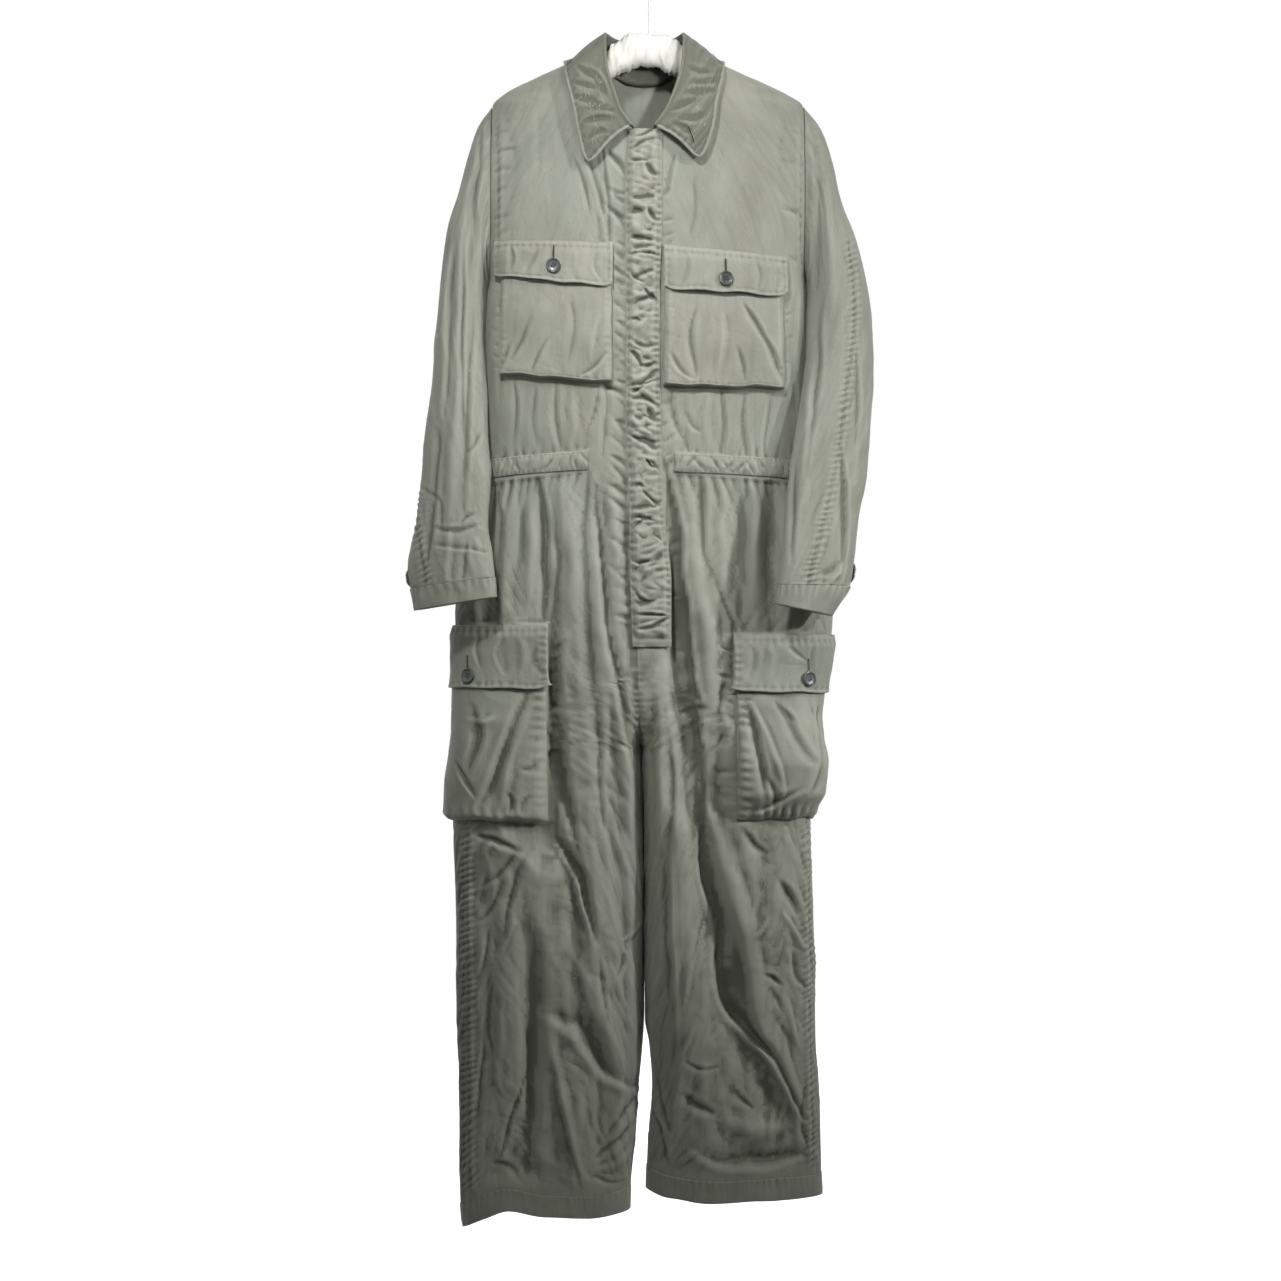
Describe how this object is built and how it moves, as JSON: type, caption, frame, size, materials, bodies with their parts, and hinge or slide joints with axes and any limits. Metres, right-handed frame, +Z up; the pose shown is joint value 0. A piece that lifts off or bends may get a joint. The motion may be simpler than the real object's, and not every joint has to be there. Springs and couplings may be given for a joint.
{
  "type": "coverall on a padded hanger",
  "caption": "Long-sleeved coverall with turned-down collar, covered front placket, flapped chest and leg pockets, gathered waist and cuff tabs, hanging on a padded wire-hook hanger.",
  "frame": {"origin": "the inner top of the hanger's hook, where it rests on a rail", "axes": "+Z up, the front of the coverall faces -Y, +X to the wearer's left, which is the viewer's right"},
  "size_m": [0.602, 0.1786, 1.6549],
  "materials": {
    "cloth": "grey-green cotton sateen",
    "button": "dark grey, satin",
    "hanger_cover": "ivory gathered cloth over padding",
    "hook_wire": "bright drawn wire"
  },
  "bodies": {
    "root": {"back_bodice": "cloth", "back_leg_left": "cloth", "back_leg_right": "cloth", "cargo_button_left": "button", "cargo_button_right": "button", "cargo_flap_left": "cloth", "cargo_flap_right": "cloth", "cargo_pocket_left": "cloth", "cargo_pocket_right": "cloth", "chest_button_left": "button", "chest_button_right": "button", "chest_flap_left": "cloth", "chest_flap_right": "cloth", "chest_pocket_left": "cloth", "chest_pocket_right": "cloth", "collar": "cloth", "cuff_left": "cloth", "cuff_right": "cloth", "cuff_tab_left": "cloth", "cuff_tab_right": "cloth", "front_left": "cloth", "front_right": "cloth", "hanger_hook": "hook_wire", "hanger_pad": "hanger_cover", "leg_hem_left": "cloth", "leg_hem_right": "cloth", "placket": "cloth", "sleeve_back_left": "cloth", "sleeve_back_right": "cloth", "sleeve_front_left": "cloth", "sleeve_front_right": "cloth", "waist_casing_back": "cloth", "waist_casing_left": "cloth", "waist_casing_right": "cloth"}
  },
  "joints": []
}
